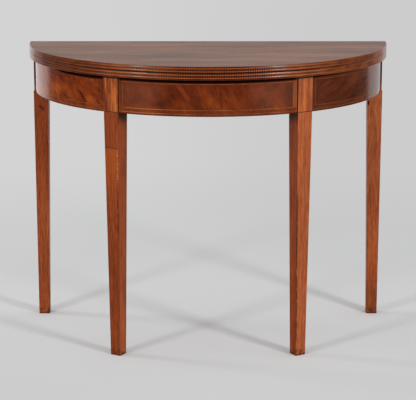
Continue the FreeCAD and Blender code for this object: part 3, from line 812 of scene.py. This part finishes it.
def darkened_places(finish, sheet, ends):
    """Where a bay is darker: painted shade in the corners at its ends, a painted shadow of the top under
    it, and a darker lower edge.
    """
    along, height = sheet
    corner = finish.fall(to_nearer_end(finish, along, ends), *END_SHADE)
    lower = finish.fall(height, *LOWER_DARKENING)
    depth = finish.rise(finish.size(along), *UPPER_LENGTHS, *UPPER_DEPTHS)
    depth = finish.times_plus(finish.within(along, *DEEPER_STRETCH), DEEPER_BY, depth)
    below_top = finish.minus(VENEER_HIGH.z, height)
    upper = finish.fall(finish.minus(below_top, depth), *TOP_SHADOW_EDGE)
    return finish.larger(lower, corner, upper)


# Inlaid lines

INLAY_TONES = tones((116, 58, 28), (164, 98, 58))
INLAY_SCALES = (40.0, 300.0)
INLAY_ROUGHNESS = (0.14, 0.22)
CLEAN_LINES = (-0.20, -0.10, 0.02)
CLEAN_HEIGHTS = (0.615, 0.635)
CLEAN_MARK = (screen(206, 132, 86), 0.7)
DULL_TONE = screen(104, 44, 18)
DULL_LEFT = (-0.24, -0.20)
DULL_LEFT_SHARES = (0.15, 0.85)
DULL_RIGHT = (0.20, 0.32)
DULL_RIGHT_SHARE = 0.55
DARK_INLAY_TONES = tones((24, 10, 6), (48, 22, 14))
DARK_INLAY_SCALE = (60.0, 60.0, 400.0)
DARK_INLAY_ROUGHNESS = (0.32, 0.45)


def light_inlay():
    """Aged light wood, darker at the sides and cleaner low on the left of the front bay."""
    finish = Finish("light_inlay")
    along, height = arc_place(finish, APRON_RADIUS)
    aged = finish.sheet_noise((along, height), INLAY_SCALES, detail=3.0)
    dull_left = finish.fall(along, *DULL_LEFT, finish.rise(height, *CLEAN_HEIGHTS, *DULL_LEFT_SHARES))
    dull_right = finish.rise(along, *DULL_RIGHT, 0.0, DULL_RIGHT_SHARE)
    shade = finish.mix(finish.plus(dull_left, dull_right), finish.ramp(aged, INLAY_TONES), DULL_TONE)
    clean = finish.times(finish.within(along, *CLEAN_LINES), finish.fall(height, *CLEAN_HEIGHTS))
    return finish.surface(finish.stain(shade, CLEAN_MARK, clean), finish.sheen(aged, *INLAY_ROUGHNESS))


def dark_inlay():
    """Dark-stained wood with a fine level grain."""
    finish = Finish("dark_inlay")
    grain = finish.noise(finish.place(), DARK_INLAY_SCALE, detail=3.0)
    roughness = finish.sheen(grain, *DARK_INLAY_ROUGHNESS)
    return finish.surface(finish.ramp(grain, DARK_INLAY_TONES), roughness)


# Dotted banding of the leaf edges

DOT_PERIOD = 0.0056
DOT_LEVELS = (-0.15, 0.25)
DOT_HALF_HEIGHT = 0.00105
DOT_EDGE = (DOT_HALF_HEIGHT * 0.8, DOT_HALF_HEIGHT * 1.2)
DOT_SHARES = (1.0, 0.4)
DOT_TONES = tones((206, 94, 36), (234, 124, 56))
GROUND_TONES = tones((50, 14, 3), (78, 24, 7))
BANDING_HEIGHT = 0.0048
BANDING_SCALES = (60.0, 300.0)
BANDING_ROUGHNESS = (0.16, 0.24)
BANDING_SPECULAR = 0.3
BANDING_WORN_SPECULAR = 0.05
LOWER_ROWS_RAISED = 0.0007


def banding_rows():
    """Heights of the four dotted rows, from the boxes of the bandings; the lower leaf's are raised."""
    rows = []
    for name, raised in (("lower_edge_banding", LOWER_ROWS_RAISED), ("upper_edge_banding", 0.0)):
        low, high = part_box(name)
        rows += [low.z + BANDING_HEIGHT / 2 + raised, high.z - BANDING_HEIGHT / 2 + raised]
    return rows


def dotted_banding():
    """Rows of light and dark blocks on a reddish ground, dimmer towards the ends."""
    finish = Finish("dotted_banding")
    along, height = arc_place(finish, TOP_RADIUS)
    aged = finish.sheet_noise((along, height), BANDING_SCALES, detail=3.0)
    block = finish.rise(finish.math("SINE", finish.times(along, 2 * math.pi / DOT_PERIOD)), *DOT_LEVELS)
    dots = finish.mix(block, SHADE_AND_GRIME, finish.ramp(aged, DOT_TONES))
    offsets = [finish.size(finish.minus(height, row)) for row in banding_rows()]
    core = finish.fall(finish.smaller(*offsets), *DOT_EDGE)
    clear = finish.rise(finish.size(along), *EDGE_DIMS, *DOT_SHARES)
    shade = finish.mix(finish.times(core, clear), finish.ramp(aged, GROUND_TONES), dots)
    # Painted light on stretches of the banding
    shade = painted_edge_light(finish, along, height, shade)
    matt = finish.within(finish.size(along), *MATT_STRETCH)
    specular = finish.times_plus(matt, BANDING_WORN_SPECULAR - BANDING_SPECULAR, BANDING_SPECULAR)
    return finish.surface(shade, finish.sheen(aged, *BANDING_ROUGHNESS), Specular_IOR_Level=specular)


# Woods and metals that hardly show

PINE_SHARES = (0.3, 0.5, 0.2)
PINE_TONES = tones((104, 74, 44), (146, 108, 66), (172, 134, 88))
PINE_ROUGHNESS = (0.6, 0.75)
SECONDARY_TONES = tones((92, 58, 32), (128, 86, 50), (150, 106, 66))
SECONDARY_PORE_STRENGTH = 0.35
SECONDARY_ROUGHNESS = (0.52, 0.68)
PATINA_SCALE = (160.0, 160.0, 160.0)
METALS = {
    "brass": {"tones": tones((120, 88, 44), (176, 138, 76)), "roughness": (0.28, 0.5)},
    "iron": {"tones": tones((48, 44, 42), (84, 78, 74)), "roughness": (0.42, 0.65)},
}


def pine_core():
    """Bare softwood of the apron's core, the back rail, the brace and the glue blocks."""
    finish = Finish("pine_core")
    tone = wood_tone(finish, crosswise_grain(finish), PINE_SHARES)
    return finish.surface(finish.ramp(tone, PINE_TONES), finish.sheen(tone, *PINE_ROUGHNESS))


def secondary_wood():
    """Bare hardwood of the fly rails, their pegs and the hinge rail."""
    finish = Finish("secondary_wood")
    grain = crosswise_grain(finish)
    tone = wood_tone(finish, grain)
    shade = finish.ramp(tone, SECONDARY_TONES)
    shade = pore_shade(finish, shade, wood_pores(finish, grain), SECONDARY_PORE_STRENGTH)
    return finish.surface(shade, finish.sheen(tone, *SECONDARY_ROUGHNESS))


def metal(name):
    """Metal whose colour and gloss vary with its patina."""
    look = METALS[name]
    finish = Finish(name)
    patina = finish.noise(finish.place(), PATINA_SCALE, detail=4.0, roughness=0.6)
    roughness = finish.sheen(patina, *look["roughness"])
    return finish.surface(finish.ramp(patina, look["tones"]), roughness, Metallic=1.0)


def dress():
    """Gives every node the finish of its material slot; the veneers differ from piece to piece."""
    by_slot = {
        "mahogany_top": mahogany_top(),
        "mahogany_legs": mahogany_legs(),
        "light_inlay": light_inlay(),
        "dark_inlay": dark_inlay(),
        "dotted_banding": dotted_banding(),
        "pine_core": pine_core(),
        "secondary_wood": secondary_wood(),
    }
    by_slot.update({name: metal(name) for name in METALS})
    by_piece = {"die_veneer_" + side: die_veneer(side) for side in DIES}
    by_piece.update({"apron_veneer_" + side: figured_veneer(side) for side in VENEERS})
    for name, node in nodes.items():
        slot = node.data.materials[0].name.split(".")[0]
        node.data.materials[0] = by_piece.get(name) or by_slot[slot]


# Floor: the paper's levels between two places from front to back, and the painted light that it gains under
# the table
FLOOR_REACH = 45.0
PAPER_PLACES = (-0.6, 0.6)
PAPER_LEVELS = (0.59, 0.71)
PAINTED_LIGHT_UNDER_TABLE = (0.15, 0.85, 0.10)
PAPER_TINT = (0.991, 0.998, 1.003)
PAPER_ROUGHNESS = 0.9
STUDIO_FLOOR = (0.10, 0.10, 0.10, 1.0)

# Backdrop: where it begins behind the floor, and its levels between two directions from left to right
BACKDROP_START = (0.45, 2.3)
BACKDROP_TURN = (-0.12, 0.12)
BACKDROP_LEVELS = (linear(211), linear(204))
BACKDROP_ROOM = 1.0

# Lit paper that only mirrored rays meet: levels from left to right, and how steeply its sides run back
LIT_PLACES = (-1.0, 1.0)
LIT_LEVELS = (1.0, 0.66)
LIT_START = (0.2, 0.8)
LIT_LEFT = (0.62, 0.88)
LIT_RIGHT = (0.74, 0.84)
LEFT_TO_RIGHT = (-0.1, 0.1)
HARDLY_ANY = 0.001


def paper_shade(finish, y, distance):
    """The paper's colour, paler towards the back, with painted light under the table."""
    level = finish.plus(finish.rise(y, *PAPER_PLACES, *PAPER_LEVELS), finish.fall(distance, *PAINTED_LIGHT_UNDER_TABLE))
    return finish.vector(*(finish.times(level, share) for share in PAPER_TINT))


def lit_paper(finish, x, y):
    """1 on a wedge of paper behind the table, which opens wider on the left."""
    steepness = finish.over(y, finish.plus(finish.size(x), HARDLY_ANY))
    on_right = finish.rise(x, *LEFT_TO_RIGHT)
    on_left = finish.minus(1.0, on_right)
    left = finish.times(on_left, finish.rise(steepness, *LIT_LEFT))
    wedge = finish.times_plus(on_right, finish.rise(steepness, *LIT_RIGHT), left)
    return finish.times(wedge, finish.rise(y, *LIT_START))


def floor_paper():
    """Pale paper that runs on behind as an evenly lit backdrop.

    Mirrored rays meet the darker floor of the studio, and the lit paper behind the table.
    """
    finish = Finish("floor_paper")
    place = finish.place()
    x, y, _ = finish.parts(place)
    distance = finish.add("VectorMath", {0: place}, operation="LENGTH").outputs["Value"]
    seen = finish.light_path("Is Camera Ray")
    mirrored = finish.light_path("Is Glossy Ray")
    shade = finish.mix(mirrored, paper_shade(finish, y, distance), STUDIO_FLOOR)
    finish.surface(shade, PAPER_ROUGHNESS, Specular_IOR_Level=0.0)
    side = finish.over(x, finish.plus(distance, BACKDROP_ROOM))
    backdrop = finish.rise(side, *BACKDROP_TURN, *BACKDROP_LEVELS)
    sheen = finish.rise(x, *LIT_PLACES, *LIT_LEVELS)
    glow = finish.add("Emission", {"Color": finish.mix(mirrored, backdrop, sheen)}).outputs[0]
    far = finish.times(finish.rise(distance, *BACKDROP_START), seen)
    lit = finish.larger(far, finish.times(lit_paper(finish, x, y), mirrored))
    blend = finish.add("MixShader", {0: lit, 1: finish.shader.outputs[0], 2: glow}).outputs[0]
    finish.feed(finish.nodes["Material Output"].inputs["Surface"], blend)
    return finish.material


def make_floor():
    """A large flat sheet of paper under the table."""
    reach = FLOOR_REACH
    corners = [(-reach, -reach, 0), (reach, -reach, 0), (reach, reach, 0), (-reach, reach, 0)]
    mesh = bpy.data.meshes.new("floor")
    mesh.from_pydata(corners, [], [(0, 1, 2, 3)])
    mesh.materials.append(floor_paper())
    floor = bpy.data.objects.new("floor", mesh)
    bpy.context.scene.collection.objects.link(floor)


# World: a level is for plain light, a sheen for mirrored rays, and directions are parts of a unit vector
STUDIO_LEVEL = 0.38
STUDIO_SHEEN = 0.06
BACK_LEVEL = 0.40
BACK_SHEENS = (1.3, 1.0)
BACK_TURN = (-0.4, 0.0)
BACK_START = (0.45, 0.62)
BACK_HEIGHTS = (0.28, 0.48)
BACK_SHARES = (1.0, 0.1)
OVERHEAD_LEVEL = 0.90
OVERHEAD_SHEEN = 0.12
OVERHEAD_START = (0.35, 0.9)
SOFT_BOX_SIDES = (0.45, 0.95, 0.12)
SOFT_BOX_HEIGHTS = (0.08, 0.50, 0.08)
SOFT_BOX_FRONT = (-0.3, -0.1)
SOFT_BOX_SHEENS = (1.95, 2.9)
WHITE = (1.0, 1.0, 1.0, 1.0)


def by_ray(tree, mirrored, level, sheen):
    """One level for plain light and another for mirrored rays."""
    return tree.rise(mirrored, 0.0, 1.0, level, sheen)


def soft_boxes(tree, x, y, z):
    """Brightness of a soft box on either side of the camera."""
    sides = tree.within(tree.size(x), *SOFT_BOX_SIDES)
    heights = tree.within(z, *SOFT_BOX_HEIGHTS)
    return tree.times(
        tree.rise(x, *LEFT_TO_RIGHT, *SOFT_BOX_SHEENS),
        sides,
        heights,
        tree.fall(y, *SOFT_BOX_FRONT),
    )


def make_world():
    """A studio with a bright backdrop behind and a wide soft light overhead.

    Mirrored rays find it darker, with a soft box on either side of the camera.
    """
    world = bpy.data.worlds.new("studio")
    world.use_nodes = True
    tree = Tree(world.node_tree)
    x, y, z = tree.parts(tree.add("TexCoord").outputs["Generated"])
    seen = tree.light_path("Is Camera Ray")
    mirrored = tree.light_path("Is Glossy Ray")
    around = by_ray(tree, mirrored, STUDIO_LEVEL, STUDIO_SHEEN)
    lit_back = by_ray(tree, mirrored, BACK_LEVEL, tree.rise(x, *BACK_TURN, *BACK_SHEENS))
    back = tree.rise(y, *BACK_START, 0.0, lit_back)
    back = tree.times(back, tree.rise(z, *BACK_HEIGHTS, *BACK_SHARES))
    lit_above = by_ray(tree, mirrored, OVERHEAD_LEVEL, OVERHEAD_SHEEN)
    overhead = tree.rise(z, *OVERHEAD_START, 0.0, lit_above)
    boxes = tree.times(soft_boxes(tree, x, y, z), mirrored)
    backdrop = tree.times(tree.rise(x, *BACKDROP_TURN, *BACKDROP_LEVELS), seen)
    background = tree.nodes["Background"]
    tree.feed(background.inputs["Color"], WHITE)
    tree.feed(background.inputs["Strength"], tree.larger(back, overhead, around, boxes, backdrop))
    bpy.context.scene.world = world


# Strip lamps: the place of each, its power in watts, and whether reflections show it
STRIP_WIDTH = 0.45
STRIP_HEIGHT = 1.4
AIM = Vector((0.0, 0.0, 0.5))
LAMPS = {
    "front_right_strip": ((2.22, -2.27, 1.85), 46.0, True),
    "front_left_strip": ((-2.21, -2.33, 1.85), 30.0, True),
    "left_strip": ((-2.75, 0.72, 1.5), 14.0, False),
}


def make_lamps():
    """Strip lamps that face the table."""
    for name, (place, power, mirrored) in LAMPS.items():
        lamp = bpy.data.lights.new(name, "AREA")
        lamp.shape = "RECTANGLE"
        lamp.size = STRIP_WIDTH
        lamp.size_y = STRIP_HEIGHT
        lamp.energy = power
        holder = bpy.data.objects.new(name, lamp)
        holder.location = place
        holder.rotation_euler = (AIM - Vector(place)).to_track_quat("-Z", "Y").to_euler()
        holder.visible_glossy = mirrored
        bpy.context.scene.collection.objects.link(holder)


# Camera, as the photograph's perspective gives it; the lens and the sensor are in millimetres
CAMERA_PLACE = (0.0, -3.9299, 1.26517)
CAMERA_PITCH = math.radians(13.041)
LENS = 140.275
SENSOR_WIDTH = 36.0


def make_camera():
    """A camera in front of the table that looks down a little."""
    camera = bpy.data.cameras.new("camera")
    camera.lens = LENS
    camera.sensor_width = SENSOR_WIDTH
    holder = bpy.data.objects.new("camera", camera)
    holder.location = CAMERA_PLACE
    holder.rotation_euler = (math.pi / 2 - CAMERA_PITCH, 0.0, 0.0)
    bpy.context.scene.collection.objects.link(holder)
    bpy.context.scene.camera = holder


dress()
make_floor()
make_world()
make_lamps()
make_camera()
bpy.context.scene.view_settings.view_transform = "Standard"
